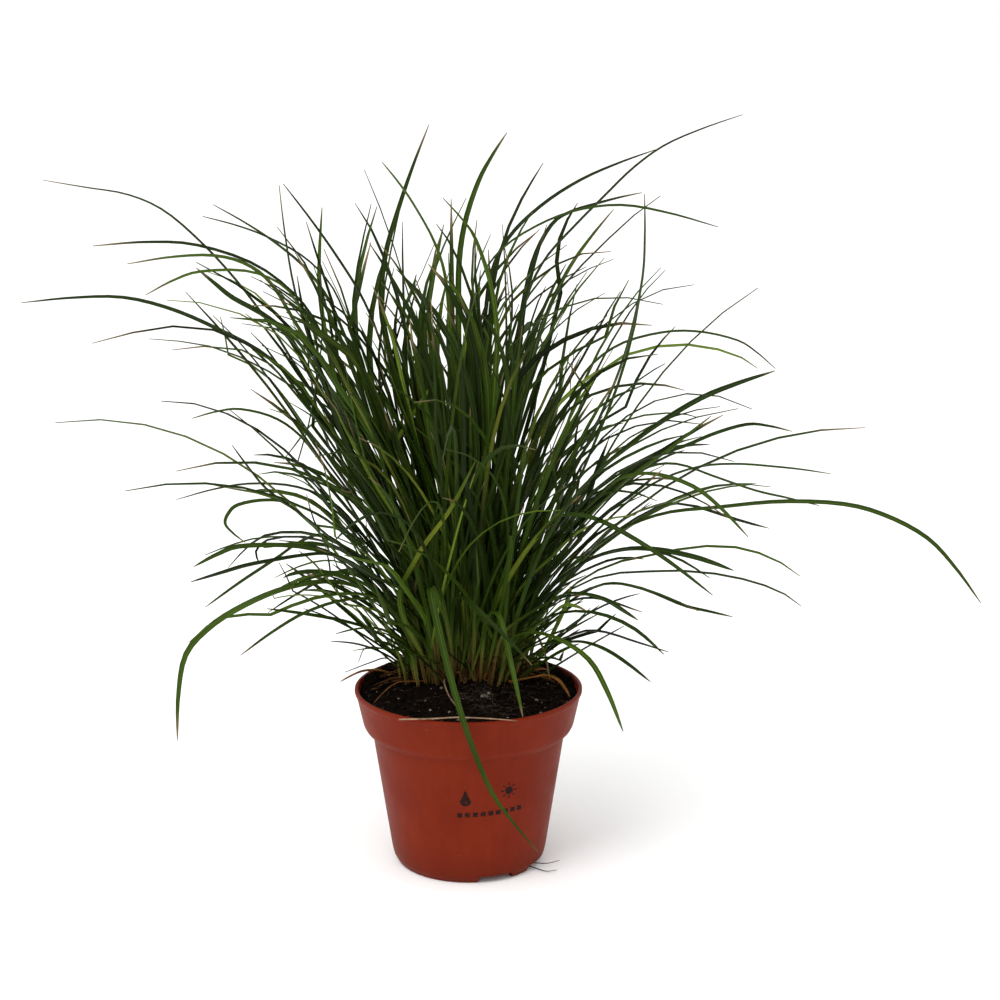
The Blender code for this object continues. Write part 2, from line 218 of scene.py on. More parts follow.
# Polypropylene, moulded against a satin steel tool: an even waxy sheen, faint flow marks
# that run up the wall, peat stains by the foot, and a few pale scuffs. Sizes are in mm.
BLOTCH = 36.0
FLOW_MARK_WIDTH, FLOW_MARK_LENGTH = 4.0, 80.0
STAIN = 14.0
SCUFF_WIDTH, SCUFF_LENGTH = 2.0, 28.0
TOOL_PEBBLE = 0.7                     # far coarser than the tool's, or it would not show
polypropylene, tree, shader = new_material("moulded_polypropylene", 0.46, 1.49, 0.06)
place = node(tree, "TexCoord").outputs["Object"]
height = node(tree, "SeparateXYZ", {"Vector": place}).outputs["Z"]
mottle = node(tree, "TexNoise", {"Vector": place, "Scale": 1.0 / (BLOTCH * MM), "Detail": 4.0,
                                   "Roughness": 0.6})
body_colour = node(tree, "ValToRGB", {"Fac": mottle.outputs["Fac"]},
                   stops=[(0.3, "#6a1f0c"), (0.7, "#74240f")])
across_flow, along_flow = 1.0 / (FLOW_MARK_WIDTH * MM), 1.0 / (FLOW_MARK_LENGTH * MM)
stretched = node(tree, "Mapping", {"Vector": place,
                                   "Scale": (across_flow, across_flow, along_flow)})
flow = node(tree, "TexNoise", {"Vector": stretched.outputs["Vector"], "Scale": 1.0, "Detail": 2.0})
flow_tone = node(tree, "MapRange", {"Value": flow.outputs["Fac"], "From Min": 0.35,
                                    "From Max": 0.75, "To Min": 0.94, "To Max": 1.05})
streaked = node(tree, "Mix", {6: body_colour.outputs["Color"], 7: flow_tone.outputs["Result"],
                              0: 1.0}, data_type="RGBA", blend_type="MULTIPLY")
stain_noise = node(tree, "TexNoise", {"Vector": place, "Scale": 1.0 / (STAIN * MM), "Detail": 5.0,
                                      "Roughness": 0.65})
near_foot = node(tree, "MapRange", {"Value": height, "From Min": 0.020, "From Max": 0.0,
                                    "To Min": 0.0, "To Max": 0.5})
foot_dirt = node(tree, "Math", {0: stain_noise.outputs["Fac"], 1: near_foot.outputs["Result"]},
                 operation="MULTIPLY")
dirty = node(tree, "Mix", {6: streaked.outputs[2], 7: linear("#331a10"),
                           0: foot_dirt.outputs[0]}, data_type="RGBA")
across_scuff, along_scuff = 1.0 / (SCUFF_WIDTH * MM), 1.0 / (SCUFF_LENGTH * MM)
scratch_space = node(tree, "Mapping", {"Vector": place, "Rotation": (0.0, 0.5, 0.9),
                                       "Scale": (across_scuff, along_scuff, across_scuff)})
scratches = node(tree, "TexNoise", {"Vector": scratch_space.outputs["Vector"], "Scale": 1.0,
                                    "Detail": 1.0})
scuff = node(tree, "MapRange", {"Value": scratches.outputs["Fac"], "From Min": 0.74,
                                "From Max": 0.80, "To Min": 0.0, "To Max": 0.22})
scuffed = node(tree, "Mix", {6: dirty.outputs[2], 7: linear("#9a5240"),
                             0: scuff.outputs["Result"]}, data_type="RGBA")
tree.links.new(scuffed.outputs[2], shader.inputs["Base Color"])
gloss = node(tree, "MapRange", {"Value": stain_noise.outputs["Fac"], "From Min": 0.3,
                                "From Max": 0.7, "To Min": 0.40, "To Max": 0.55})
tree.links.new(gloss.outputs["Result"], shader.inputs["Roughness"])
pebble = node(tree, "TexNoise", {"Vector": place, "Scale": 1.0 / (TOOL_PEBBLE * MM), "Detail": 1.0})
wall_bump = node(tree, "Bump", {"Height": pebble.outputs["Fac"], "Strength": 0.12,
                                "Distance": 0.0002})
tree.links.new(wall_bump.outputs["Normal"], shader.inputs["Normal"])

shape = turned(POT_OUTLINE, POT_SEGMENTS)
for vert in shape.verts:
    if vert.co.z < NOTCH_HEIGHT and vert.co.xy.length > NOTCH_INNER_RADIUS:
        angle = math.degrees(math.atan2(vert.co.y, vert.co.x))
        for middle in NOTCH_MIDDLES:
            if abs((angle - middle + 180.0) % 360.0 - 180.0) < 0.5 * NOTCH_ARC:
                vert.co.z = NOTCH_HEIGHT + 0.02 * vert.co.z
pot = add_piece("pot_wall", shape, polypropylene, "pot_plastic", "nursery_pot")

shape = bmesh.new()
for hole in range(DRAIN_HOLES):
    place = (Matrix.Rotation(math.tau * hole / DRAIN_HOLES, 4, "Z")
             @ Matrix.Translation((DRAIN_RING_RADIUS, 0.0, FLOOR_MIDDLE)))
    bmesh.ops.create_cone(shape, cap_ends=True, segments=32, radius1=DRAIN_HOLE_RADIUS,
                          radius2=DRAIN_HOLE_RADIUS, depth=PUNCH_DEPTH, matrix=place)
bmesh.ops.transform(shape, matrix=Matrix.Scale(MM, 4), verts=shape.verts)
punch_mesh = bpy.data.meshes.new("drain_punch")
shape.to_mesh(punch_mesh)
shape.free()
punch = bpy.data.objects.new("drain_punch", punch_mesh)
bpy.context.scene.collection.objects.link(punch)
holes = pot.modifiers.new("drain_holes", "BOOLEAN")
holes.object = punch
holes.operation = "DIFFERENCE"
bpy.context.view_layer.update()
pierced = bpy.data.meshes.new_from_object(pot.evaluated_get(bpy.context.evaluated_depsgraph_get()))
pot.modifiers.clear()
pot.data = pierced
bpy.data.objects.remove(punch)


# ----------------------------------------------------------------------
# Print on the pot. Dark ink, pad-printed on the front of the wall: a drop, a sun and a row
# of small squares, as plain care marks. It has worn thin in places.
# ----------------------------------------------------------------------
INK_FACING = -90.0                    # the side of the pot it is printed on, in degrees
INK_SINK = 0.05
INK_HEIGHT = 0.12
DROP_ACROSS, DROP_HEIGHT, DROP_RADIUS = -1.0, 48.6, 2.9
SUN_ACROSS, SUN_HEIGHT, SUN_RADIUS = 22.0, 53.0, 2.2
SUN_RAYS = 8
RAY_REACH = 3.7
GAUGE_SQUARES = 9
GAUGE_ACROSS, GAUGE_HEIGHT, GAUGE_SIDE, GAUGE_PITCH = -4.0, 40.5, 2.6, 4.0


def speckled_material(name, roughness, ior, specular, speck, detail, stops):
    """A material that wanders through its colour stops, in specks of a size in mm."""
    material, tree, shader = new_material(name, roughness, ior, specular)
    place = node(tree, "TexCoord").outputs["Object"]
    specks = node(tree, "TexNoise", {"Vector": place, "Scale": 1.0 / (speck * MM),
                                     "Detail": detail})
    colour = node(tree, "ValToRGB", {"Fac": specks.outputs["Fac"]}, stops=stops)
    tree.links.new(colour.outputs["Color"], shader.inputs["Base Color"])
    return material


# Pad-printing ink: a thin matt film, nearly black, worn to the plastic in specks.
WORN_SPECK = 1.1
printing_ink = speckled_material("pad_printing_ink", 0.6, 1.5, 0.1, WORN_SPECK, 2.0,
                                 [(0.50, "#1c0d0a"), (0.62, "#38130b"), (0.72, "#6a1f0c")])


def wall_radius(height):
    """The radius of the pot's outer wall, in mm, below its collar."""
    foot_radius, foot_height = WALL_FOOT
    top_radius, top_height = WALL_TOP
    up_the_wall = top_height - foot_height
    return foot_radius + (top_radius - foot_radius) * (height - foot_height) / up_the_wall


def ink_bar(shape, across, height, width, length, turned_by=0.0):
    """A small flat bar or square of ink, laid out flat before it is wrapped on the pot."""
    made = bmesh.ops.create_cube(shape, size=1.0)["verts"]
    lay = (Matrix.Translation((across, 0.0, height)) @ Matrix.Rotation(turned_by, 4, "Y")
           @ Matrix.Diagonal((width, INK_HEIGHT, length, 1.0)))
    bmesh.ops.transform(shape, matrix=lay, verts=made)


shape = bmesh.new()
upright = Matrix.Rotation(math.radians(90.0), 4, "X")
drop = bmesh.ops.create_cone(shape, cap_ends=True, segments=32, radius1=DROP_RADIUS,
                             radius2=DROP_RADIUS, depth=INK_HEIGHT,
                             matrix=Matrix.Translation((DROP_ACROSS, 0.0, DROP_HEIGHT)) @ upright)
for vert in drop["verts"]:
    rise = max(0.0, vert.co.z - DROP_HEIGHT) / DROP_RADIUS
    vert.co.x = DROP_ACROSS + (vert.co.x - DROP_ACROSS) * (1.0 - 0.55 * rise)
    vert.co.z += 3.4 * rise ** 3
bmesh.ops.create_cone(shape, cap_ends=True, segments=28, radius1=SUN_RADIUS, radius2=SUN_RADIUS,
                      depth=INK_HEIGHT,
                      matrix=Matrix.Translation((SUN_ACROSS, 0.0, SUN_HEIGHT)) @ upright)
# The two discs are cut into wedges, so that they bend with the wall when they are wrapped.
bmesh.ops.poke(shape, faces=[face for face in shape.faces if len(face.verts) > 4])
for ray in range(SUN_RAYS):
    angle = math.tau * ray / SUN_RAYS
    ink_bar(shape, SUN_ACROSS + RAY_REACH * math.sin(angle),
            SUN_HEIGHT + RAY_REACH * math.cos(angle), 0.7, 1.7, angle)
for square in range(GAUGE_SQUARES):
    ink_bar(shape, GAUGE_ACROSS + GAUGE_PITCH * square, GAUGE_HEIGHT + 0.15 * square,
            GAUGE_SIDE, GAUGE_SIDE)
for vert in shape.verts:
    radius = wall_radius(vert.co.z)
    angle = math.radians(INK_FACING) + vert.co.x / radius
    out = radius - INK_SINK + (0.5 * INK_HEIGHT - vert.co.y)
    vert.co = Vector((out * math.cos(angle), out * math.sin(angle), vert.co.z))
bmesh.ops.recalc_face_normals(shape, faces=shape.faces)
add_piece("care_marks", shape, printing_ink, "pot_plastic")


# ----------------------------------------------------------------------
# Potting soil. Dark peat mix that fills the pot almost to its rim and rises to the back.
# Its top is crumbly, with clods, bark, pale perlite grains and hair-thin roots on it.
# ----------------------------------------------------------------------
SOIL_SEGMENTS = 150
SOIL_TOP_RINGS = 44
LUMPS_PER_MM, LUMP_HEIGHT = 0.11, 1.1
CRUMBS_PER_MM, CRUMB_HEIGHT = 0.55, 0.75
SETTLED = 0.6                         # how far the loose top has sunk below the plug's
COLLAR_FOOT = (54.5, 76.6)            # radius and height where the collar's inside starts
COLLAR_WIDENING, COLLAR_DEPTH = 3.6, 18.4
soil_low, soil_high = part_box("potting_soil")
soil_radius = soil_high[0] / MM
soil_floor = soil_low[2] / MM
soil_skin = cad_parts["potting_soil"].data
plug_skin = BVHTree.FromPolygons([vert.co for vert in soil_skin.vertices],
                                 [face.vertices for face in soil_skin.polygons])


def soil_surface(x, y):
    """The height of the crumbly soil top, in mm, at a place on it."""
    inward = min(1.0, (soil_radius - 2.0) / max(1.0, math.hypot(x, y)))
    above = Vector((x * inward * MM, y * inward * MM, 1.0))
    struck = plug_skin.ray_cast(above, Vector((0.0, 0.0, -1.0)))[0]
    lumps = noise.fractal(Vector((x, y, 3.0)) * LUMPS_PER_MM, 0.7, 2.2, 3)
    crumbs = noise.fractal(Vector((x, y, 9.0)) * CRUMBS_PER_MM, 0.6, 2.1, 3)
    return struck.z / MM + LUMP_HEIGHT * lumps + CRUMB_HEIGHT * crumbs - SETTLED


# Peat, milled and damp: nearly black, with brown fibres, and no gloss at all.
PEAT_CRUMB = 2.4
peat, tree, shader = new_material("damp_milled_peat", 0.95, 1.4, 0.05)
place = node(tree, "TexCoord").outputs["Object"]
crumble = node(tree, "TexNoise", {"Vector": place, "Scale": 1.0 / (PEAT_CRUMB * MM), "Detail": 6.0,
                                  "Roughness": 0.7})
peat_colour = node(tree, "ValToRGB", {"Fac": crumble.outputs["Fac"]},
                   stops=[(0.30, "#070504"), (0.55, "#120c08"), (0.68, "#261912"),
                          (0.80, "#4a3726")])
tree.links.new(peat_colour.outputs["Color"], shader.inputs["Base Color"])
crumb_bump = node(tree, "Bump", {"Height": crumble.outputs["Fac"], "Strength": 0.9,
                                 "Distance": 0.0012})
tree.links.new(crumb_bump.outputs["Normal"], shader.inputs["Normal"])

# The floor and side lie just inside the pot's. The top is turned flat, well above the rim,
# and is then let down on to the crumbly surface, with its edge against the collar.
FLAT_TOP = 100.0
floor_and_side = [(0.0, soil_floor, 0.0), (38.4, soil_floor, 0.0), (39.7, 8.4, 0.0),
                  (49.3, 71.9, 0.0), (53.7, 77.0, 0.0)]
rim_to_middle = [(soil_radius * ring / SOIL_TOP_RINGS, FLAT_TOP, 0.0)
                 for ring in range(SOIL_TOP_RINGS, -1, -1)]
shape = turned(floor_and_side + rim_to_middle, SOIL_SEGMENTS)
for vert in shape.verts:
    if vert.co.z > FLAT_TOP - 1.0:
        radius = vert.co.xy.length
        vert.co.z = soil_surface(vert.co.x, vert.co.y)
        if radius > soil_radius - 0.1:
            up_the_collar = vert.co.z - COLLAR_FOOT[1]
            vert.co.xy *= (COLLAR_FOOT[0] + COLLAR_WIDENING * up_the_collar / COLLAR_DEPTH) / radius
add_piece("soil_plug", shape, peat, "potting_soil", "potting_soil", sharp=180.0)


def strewn(draw, count, near, far):
    """Places on the soil, evenly spread over the ring between two radii."""
    for _ in range(count):
        radius = math.sqrt(draw.uniform(near * near, far * far))
        angle = draw.uniform(0.0, math.tau)
        yield radius * math.cos(angle), radius * math.sin(angle)


def add_grain(shape, draw, x, y, size, flatness, lift=0.25, subdivisions=1):
    """Lay one broken lump on the soil: a dented icosphere, squashed and tipped."""
    axis = Vector([draw.gauss(0, 1) for _ in range(3)]).normalized()
    turn = Quaternion(axis, draw.uniform(0, 6.28))
    squash = Matrix.Diagonal((1.0, draw.uniform(0.55, 0.95), flatness, 1.0))
    tilt = Quaternion((1.0, 0.0, 0.0), draw.gauss(0.0, 0.35)).to_matrix().to_4x4()
    made = bmesh.ops.create_icosphere(shape, subdivisions=subdivisions, radius=0.5 * size)["verts"]
    for vert in made:
        vert.co *= draw.uniform(0.72, 1.15)
    height = soil_surface(x, y) + lift * size * flatness
    place = Matrix.Translation((x, y, height)) @ tilt @ squash @ turn.to_matrix().to_4x4()
    bmesh.ops.transform(shape, matrix=place, verts=made)


def grain_size(draw, smallest, largest):
    """Many small grains and a few large ones."""
    return smallest + (largest - smallest) * draw.random() ** 2.5


PEAT_CRUMBS = 2000
draw = random.Random(4)
shape = bmesh.new()
for x, y in strewn(draw, PEAT_CRUMBS, 2.0, soil_radius - 1.2):
    add_grain(shape, draw, x, y, grain_size(draw, 0.6, 3.2), 0.75)
add_piece("peat_crumbs", shape, peat, "potting_soil", sharp=180.0)

# Clods that were pressed against the back of the rim stand a little above it.
shape = bmesh.new()
for angle in (14, 22, 30, 36, 42, 48, 55, 62, 70, 80, 92, 104, 114, 122, 129, 136, 143, 151,
              160, 170):
    around = math.radians(angle + draw.gauss(0.0, 2.0))
    out = draw.uniform(53.5, 56.8)
    add_grain(shape, draw, out * math.cos(around), out * math.sin(around),
              draw.uniform(5.5, 9.5), flatness=0.72, lift=0.24, subdivisions=3)
add_piece("peat_clods", shape, peat, "potting_soil", sharp=180.0)

# Composted bark and wood: dull brown chips, a little paler on their torn faces.
TORN_FIBRE = 4.0
BARK_CHIPS = 170
bark = speckled_material("composted_bark", 0.9, 1.45, 0.05, TORN_FIBRE, 3.0,
                         [(0.35, "#160e08"), (0.55, "#2c1d12"), (0.72, "#54402c")])
shape = bmesh.new()
for x, y in strewn(draw, BARK_CHIPS, 8.0, soil_radius - 2.5):
    add_grain(shape, draw, x, y, grain_size(draw, 1.2, 4.6), 0.32)
add_piece("bark_chips", shape, bark, "potting_soil", sharp=30.0)

# Perlite: volcanic glass popped by heat, so each grain is a chalky grey-white crumb. Four
# lie together before the crown.
PERLITE_PIT = 1.1
PERLITE_GRAINS = 120
perlite = speckled_material("expanded_perlite", 0.8, 1.5, 0.1, PERLITE_PIT, 2.0,
                            [(0.3, "#4c463c"), (0.6, "#847b6e")])
shape = bmesh.new()
for x, y in strewn(draw, PERLITE_GRAINS, 6.0, soil_radius - 2.0):
    add_grain(shape, draw, x, y, grain_size(draw, 0.5, 2.3), 0.8)
for x, y in ((8.0, -6.0), (9.6, -7.2), (7.0, -8.4), (10.6, -4.6)):
    add_grain(shape, draw, x, y, 2.6, 0.8)
add_piece("perlite_grains", shape, perlite, "potting_soil", sharp=180.0)


def root_tube(shape, path, thickness, sides, tapering=0.55):
    """Extrude a small ring along a path, thinner towards its end, and close both ends."""
    ring = bmesh.ops.create_circle(shape, cap_ends=True, segments=sides, radius=0.5)["verts"]
    cap = ring[0].link_faces[0]
    last = len(path) - 1
    before = None
    for station, point in enumerate(path):
        tangent = (path[min(station + 1, last)] - path[max(station - 1, 0)]).normalized()
        size = thickness * (1.0 - tapering * station / last)
        here = (Matrix.Translation(point) @ tangent.to_track_quat("Z", "Y").to_matrix().to_4x4()
                @ Matrix.Scale(size, 4))
        if before is None:
            bmesh.ops.transform(shape, matrix=here, verts=cap.verts)
            first_cap = bmesh.ops.extrude_face_region(shape, geom=[cap])
            cap = next(item for item in first_cap["geom"] if isinstance(item, bmesh.types.BMFace))
        else:
            bmesh.ops.transform(shape, matrix=here @ before.inverted(), verts=cap.verts)
            if station < last:
                further = bmesh.ops.extrude_face_region(shape, geom=[cap])
                shape.faces.remove(cap)
                cap = next(item for item in further["geom"] if isinstance(item, bmesh.types.BMFace))
        before = here


# Dried root hairs: thinner than a thread and pale grey-brown. Two in three lie in a mat
# before the crown, and the others anywhere.
HAIR_STAIN = 2.0
ROOT_HAIRS = 84
MAT_X, MAT_Y = 8.0, -8.0
HAIR_STEP = 1.5
root_hair = speckled_material("dried_root_hair", 0.85, 1.4, 0.1, HAIR_STAIN, 3.0,
                              [(0.3, "#2a221b"), (0.6, "#4f443a"), (0.8, "#75695c")])
shape = bmesh.new()
for hair in range(ROOT_HAIRS):
    if hair % 3:
        x, y = draw.gauss(MAT_X, 11.0), draw.gauss(MAT_Y, 9.0)
    else:
        x, y = next(strewn(draw, 1, 4.0, soil_radius - 8.0))
    heading = draw.uniform(0.0, math.tau)
    path = []
    for step in range(12):
        path.append(Vector((x, y, soil_surface(x, y) + draw.uniform(0.3, 1.5))))
        heading += draw.gauss(0.0, 0.55)
        x += HAIR_STEP * math.cos(heading)
        y += HAIR_STEP * math.sin(heading)
        if math.hypot(x, y) > soil_radius - 2.0:
            break
    if len(path) > 4:
        root_tube(shape, path, draw.uniform(0.14, 0.28), 5)
add_piece("root_hairs", shape, root_hair, "root_fibre", sharp=180.0)


# ----------------------------------------------------------------------
# Living leaves. Each is one long blade of a sedge, keeled like a shallow V, that rises
# from the crown and arches over. A tuft is one long leaf with the shorter ones beside it.
# ----------------------------------------------------------------------
CROWN_X, CROWN_Y = -1.0, 22.0
CROWN_HALF_WIDTH = 31.0
CROWN_HALF_DEPTH = 13.0
KEEL = 0.26                           # how deep the fold is, as a share of the blade's width
LEAF_THICKNESS = 0.32
SHEATH_PART = 0.18                    # the share of a leaf that is folded tighter at its foot


def curve_point(points, t):
    """A point at 0 to 1 along a smooth curve through evenly spaced points."""
    last = len(points) - 1
    at = min(max(t, 0.0), 1.0) * last
    index = min(int(at), last - 1)
    u = at - index
    p1, p2 = points[index], points[index + 1]
    p0 = points[index - 1] if index else p1 * 2.0 - p2
    p3 = points[index + 2] if index + 2 <= last else p2 * 2.0 - p1
    return 0.5 * (p1 * 2.0 + (p2 - p0) * u + (p0 * 2.0 - p1 * 5.0 + p2 * 4.0 - p3) * u * u
                  + (p1 * 3.0 - p0 - p2 * 3.0 + p3) * u ** 3)


def smooth_path(route, stations):
    """The points at even steps along the smooth curve through a route."""
    points = [Vector(point) for point in route]
    return [curve_point(points, step / stations) for step in range(stations + 1)]


def spine_of(name):
    """A leaf solid's middle line, from crown to tip in mm, and its greatest width.

    The solid is a row of four-sided rings that meet at the tip, so counting edges away
    from the tip finds one ring after another.
    """
    shape = bmesh.new()
    shape.from_mesh(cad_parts[name].data)
    bmesh.ops.remove_doubles(shape, verts=shape.verts, dist=0.00002)
    for tip in shape.verts:
        levels = [[tip]]
        seen = {tip}
        while levels[-1]:
            beyond = []
            for vert in levels[-1]:
                for edge in vert.link_edges:
                    other = edge.other_vert(vert)
                    if other not in seen:
                        seen.add(other)
                        beyond.append(other)
            levels.append(beyond)
        levels.pop()
        if all(len(level) == 4 for level in levels[1:]):
            break
    levels.reverse()
    points = [sum((vert.co for vert in level), Vector()) / len(level) / MM for level in levels]
    width = max((a.co - b.co).length for level in levels for a in level for b in level) / MM
    shape.free()
    return points, width


def blade_width(along, taper):
    """A narrow sheath at the crown, the full width at a third, then a taper to the tip."""
    sheath = 0.72 + 0.28 * min(1.0, along / 0.3)
    return sheath * (1.0 - along ** taper) ** 0.7


def add_blade(shape, path, across, width, cells, traits, twist=0.0, taper=4.0,
              thickness=LEAF_THICKNESS):
    """Bend a flat grid into one closed blade along a path, folded to a keel along its middle."""
    stations = len(path) - 1
    made = bmesh.ops.create_grid(shape, x_segments=cells, y_segments=stations, size=0.5,
                                 calc_uvs=True)["verts"]
    places = []
    for station, point in enumerate(path):
        along = station / stations
        tangent = (path[min(station + 1, stations)] - path[max(station - 1, 0)]).normalized()
        side = (across - tangent * across.dot(tangent)).normalized()
        side.rotate(Quaternion(tangent, twist * along ** 1.4))
        above = side.cross(tangent)
        closed = max(0.0, 1.0 - along / SHEATH_PART)
        fold = KEEL + 0.5 * closed
        half = max(0.06, 0.5 * width * blade_width(along, taper)) * (1.0 - 0.35 * closed)
        places.append((point, side * half, above * (2.0 * half * fold)))
    for vert in made:
        column = 2.0 * vert.co.x
        point, half_side, keel_rise = places[round((vert.co.y + 0.5) * stations)]
        vert.co = point + half_side * column + keel_rise * (abs(column) ** 1.15 - 1.0)
    for name, value in traits.items():
        layer = shape.verts.layers.float[name]
        for vert in made:
            vert[layer] = value
    faces = {face for vert in made for face in vert.link_faces}
    for face in faces:
        face.normal_update()             # solidify goes by the normals that the faces hold
    bmesh.ops.solidify(shape, geom=list(faces), thickness=thickness)


def blade_shape():
    """An empty bmesh with the layers that every blade carries, where a trait not given is 0."""
    shape = bmesh.new()
    shape.loops.layers.uv.new("blade")
    for name in ("tone", "dryness", "yellowing"):
        shape.verts.layers.float.new(name)
    return shape


def level_across(path):
    """The level direction across a leaf that arches from its crown to its tip."""
    chord = path[-1] - path[0]
    return Vector((chord.y, -chord.x, 0.0)).normalized()


# A living sedge blade: dark green with a waxy bloom, parallel veins and a pale midrib. It
# fades to olive and reddish sheath at the crown, and to dry brown at the old tips. A real
# blade has about twelve veins: three broad ones are drawn, since finer ones would not show.
# Their stripes also carry painted light and shade of the fold, and the lighter midrib also
# carries a painted highlight along the keel.
LEAF_PATCH = 18.0
VEINS = 3.0
green_blade, tree, shader = new_material("living_sedge_blade", 0.5, 1.42, 0.11)
uv = node(tree, "UVMap", uv_map="blade").outputs["UV"]
split = node(tree, "SeparateXYZ", {"Vector": uv})
over, along = split.outputs["X"], split.outputs["Y"]
place = node(tree, "TexCoord").outputs["Object"]
tone = node(tree, "Attribute", attribute_name="tone").outputs["Fac"]
greens = node(tree, "ValToRGB", {"Fac": tone},
              stops=[(0.0, "#131c05"), (0.35, "#1f2e07"), (0.65, "#2f420c"), (0.85, "#425615"),
                     (1.0, "#5f7224")])
patches = node(tree, "TexNoise", {"Vector": place, "Scale": 1.0 / (LEAF_PATCH * MM), "Detail": 3.0})
patch_tone = node(tree, "MapRange", {"Value": patches.outputs["Fac"], "From Min": 0.3,
                                     "From Max": 0.7, "To Min": 0.82, "To Max": 1.18})
patchy = node(tree, "Mix", {6: greens.outputs["Color"], 7: patch_tone.outputs["Result"], 0: 1.0},
              data_type="RGBA", blend_type="MULTIPLY")
sheath_ramp = node(tree, "ValToRGB", {"Fac": along},
                   stops=[(0.0, "#402413"), (0.05, "#5e4a27"), (0.12, "#666c2e"),
                          (0.26, "#4c6a26")])
sheath_part = node(tree, "MapRange", {"Value": along, "From Min": 0.06, "From Max": 0.32,
                                      "To Min": 0.85, "To Max": 0.0})
sheathed = node(tree, "Mix", {6: patchy.outputs[2], 7: sheath_ramp.outputs["Color"],
                              0: sheath_part.outputs["Result"]}, data_type="RGBA")
yellowing = node(tree, "Attribute", attribute_name="yellowing").outputs["Fac"]
mid_blade = node(tree, "Math", {0: along, 1: 0.62}, operation="SUBTRACT")
off_middle = node(tree, "Math", {0: mid_blade.outputs[0]}, operation="ABSOLUTE")
yellow_band = node(tree, "MapRange", {"Value": off_middle.outputs[0], "From Min": 0.06,
                                      "From Max": 0.24, "To Min": 1.0, "To Max": 0.1})
yellow_part = node(tree, "Math", {0: yellowing, 1: yellow_band.outputs["Result"]},
                   operation="MULTIPLY")
yellowed = node(tree, "Mix", {6: sheathed.outputs[2], 7: linear("#6c7222"),
                              0: yellow_part.outputs[0]}, data_type="RGBA")
dryness = node(tree, "Attribute", attribute_name="dryness").outputs["Fac"]
tip_start = node(tree, "Math", {0: 1.0, 1: dryness}, operation="SUBTRACT")
past_tip = node(tree, "Math", {0: along, 1: tip_start.outputs[0]}, operation="SUBTRACT")
tip_part = node(tree, "MapRange", {"Value": past_tip.outputs[0], "From Min": -0.02,
                                   "From Max": 0.03, "To Min": 0.0, "To Max": 0.9})
tipped = node(tree, "Mix", {6: yellowed.outputs[2], 7: linear("#6a5a3c"),
                            0: tip_part.outputs["Result"]}, data_type="RGBA")
# Painted light and shade: the three broad stripes that lighten and darken the blade are partly its
# real veins, and partly stand in for the lit and shaded sides of its keeled fold.
stripe_phase = node(tree, "Math", {0: over, 1: VEINS * math.tau}, operation="MULTIPLY")
stripe_wave = node(tree, "Math", {0: stripe_phase.outputs[0]}, operation="SINE")
vein_and_painted_shade_tone = node(tree, "MapRange", {"Value": stripe_wave.outputs[0], "From Min": -1.0,
                                    "From Max": 1.0, "To Min": 0.74, "To Max": 1.26})
veins_and_painted_shade = node(tree, "Mix", {6: tipped.outputs[2], 7: vein_and_painted_shade_tone.outputs["Result"], 0: 1.0},
              data_type="RGBA", blend_type="MULTIPLY")
# Painted highlight: the middle of the blade is made much lighter, partly for its real pale midrib
# and partly as a highlight along the keel.
off_rib = node(tree, "Math", {0: over, 1: 0.5}, operation="SUBTRACT")
rib_distance = node(tree, "Math", {0: off_rib.outputs[0]}, operation="ABSOLUTE")
midrib_and_highlight_tone = node(tree, "MapRange", {"Value": rib_distance.outputs[0], "From Min": 0.03,
                                   "From Max": 0.12, "To Min": 1.6, "To Max": 1.0})
midrib_and_painted_highlight = node(tree, "Mix", {6: veins_and_painted_shade.outputs[2], 7: midrib_and_highlight_tone.outputs["Result"], 0: 1.0},
              data_type="RGBA", blend_type="MULTIPLY")
tree.links.new(midrib_and_painted_highlight.outputs[2], shader.inputs["Base Color"])
vein_bump = node(tree, "Bump", {"Height": stripe_wave.outputs[0], "Strength": 0.35,
                                "Distance": 0.0001})
tree.links.new(vein_bump.outputs["Normal"], shader.inputs["Normal"])

# Each kind of tuft: how many shorter leaves stand beside the long one, the least part of
# its curve that they follow, and how far they turn about the crown and lean, in degrees.
TUFTS = {
    "leaf_left": (7, 0.62, 8.0, 3.5),
    "leaf_low_left": (3, 0.60, 9.0, 4.0),
    "leaf_top": (18, 0.62, 18.0, 4.0),
    "leaf_right": (5, 0.60, 9.0, 3.5),
    "leaf_low_right": (2, 0.55, 9.0, 4.0),
    "leaf_front": (2, 0.30, 20.0, 6.0),
    "leaf_back": (7, 0.60, 25.0, 5.0),
}
# The far-flung leaves stand alone: only two short ones grow beside each.
LONE_LEAVES = ("leaf_right_12", "leaf_right_11", "leaf_right_10", "leaf_low_right_02",
               "leaf_left_01", "leaf_left_02", "leaf_low_left_01", "leaf_front_01",
               "leaf_low_right_06")
BESIDE_A_LONE_LEAF = (2, 0.35, 12.0, 5.0)
ROOT_DEPTH = 4.0
FACE_TURN = 0.7                       # a long leaf's twist, which turns it to the front, in radians
KINKED_SHARE = 0.15

spines = {name: spine_of(name) for name in sorted(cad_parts) if name.startswith("leaf_")}


def neighbours_of(name, count):
    """The leaves whose tips are nearest to this leaf's tip, and which don't stand alone."""
    tip = spines[name][0][-1]
    others = [other for other in spines if other != name and other not in LONE_LEAVES]
    return sorted(others, key=lambda other: (spines[other][0][-1] - tip).length)[:count]


def leaf_traits(draw):
    """The colour of one leaf: how light its green is, and how far its tip has dried."""
    return {"tone": min(1.0, max(0.0, draw.gauss(0.42, 0.24))),
            "dryness": draw.choice((0.0, 0.0, 0.03, 0.08)),
            "yellowing": draw.choice((0.0,) * 30 + (0.25, 0.5))}


def rooted_at(x, y):
    """A place just under the soil surface for a leaf to start from."""
    return Vector((x, y, soil_surface(x, y) - ROOT_DEPTH))


